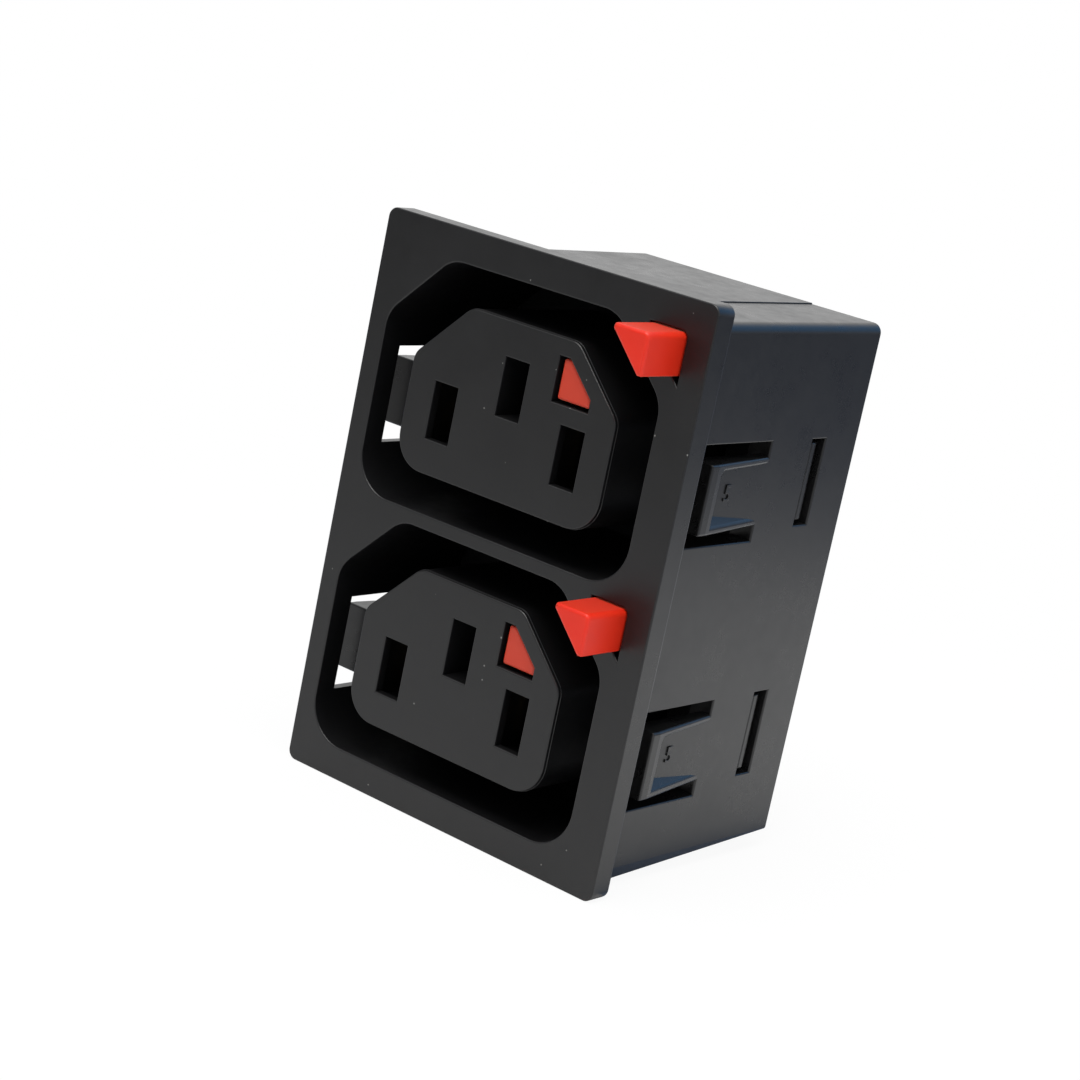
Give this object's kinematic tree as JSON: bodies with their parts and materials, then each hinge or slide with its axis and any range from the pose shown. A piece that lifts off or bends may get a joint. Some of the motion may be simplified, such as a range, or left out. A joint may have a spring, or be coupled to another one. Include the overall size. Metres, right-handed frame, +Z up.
{
  "type": "locking power panel socket",
  "caption": "Black snap-in panel power socket with D-shaped outlet recesses, slotted cores and red spring-return release buttons that free a tilting lock plate.",
  "frame": {"origin": "centre of the flange's back face, on the plane of the panel's front surface", "axes": "+X to the right seen from the front, +Y through the panel towards the terminals, +Z up"},
  "size_m": [0.0359, 0.0408, 0.0512],
  "materials": {
    "black_plastic": "satin moulded, fine spark texture",
    "red_plastic": "semi-gloss moulded",
    "spring_steel": "bright rolled",
    "brass": "rolled, slightly dull"
  },
  "bodies": {
    "socket": {"front_housing": "black_plastic", "rear_cover_upper": "black_plastic", "rear_cover_lower": "black_plastic", "left_contact_upper": "brass", "left_contact_lower": "brass", "right_contact_upper": "brass", "right_contact_lower": "brass", "earth_contact_upper": "brass", "earth_contact_lower": "brass", "return_spring_upper": "spring_steel", "return_spring_lower": "spring_steel"},
    "upper_slider": {"release_slider_upper": "red_plastic"},
    "lower_slider": {"release_slider_lower": "red_plastic"},
    "upper_plate": {"lock_plate_upper": "spring_steel"},
    "lower_plate": {"lock_plate_lower": "spring_steel"}
  },
  "joints": [
    {"name": "upper_release", "type": "slide", "parent": "socket", "child": "upper_slider", "axis": [0, 1, 0], "range_m": [0, 0.003], "stiffness_N_per_m": 800, "springref_m": -0.002, "deforming": ["return_spring_upper"]},
    {"name": "lower_release", "type": "slide", "parent": "socket", "child": "lower_slider", "axis": [0, 1, 0], "range_m": [0, 0.003], "stiffness_N_per_m": 800, "springref_m": -0.002, "deforming": ["return_spring_lower"]},
    {"name": "upper_lock", "type": "hinge", "parent": "socket", "child": "upper_plate", "pos_m": [-0.00547, 0.0056, 0.01504], "axis": [0, 0, 1], "range_deg": [0, 17.6]},
    {"name": "lower_lock", "type": "hinge", "parent": "socket", "child": "lower_plate", "pos_m": [-0.00547, 0.0056, -0.00825], "axis": [0, 0, 1], "range_deg": [0, 17.6]}
  ],
  "couplings": [
    {"joint": "upper_lock", "follows": "upper_release", "rad_per_m": 102.34},
    {"joint": "lower_lock", "follows": "lower_release", "rad_per_m": 102.34}
  ]
}
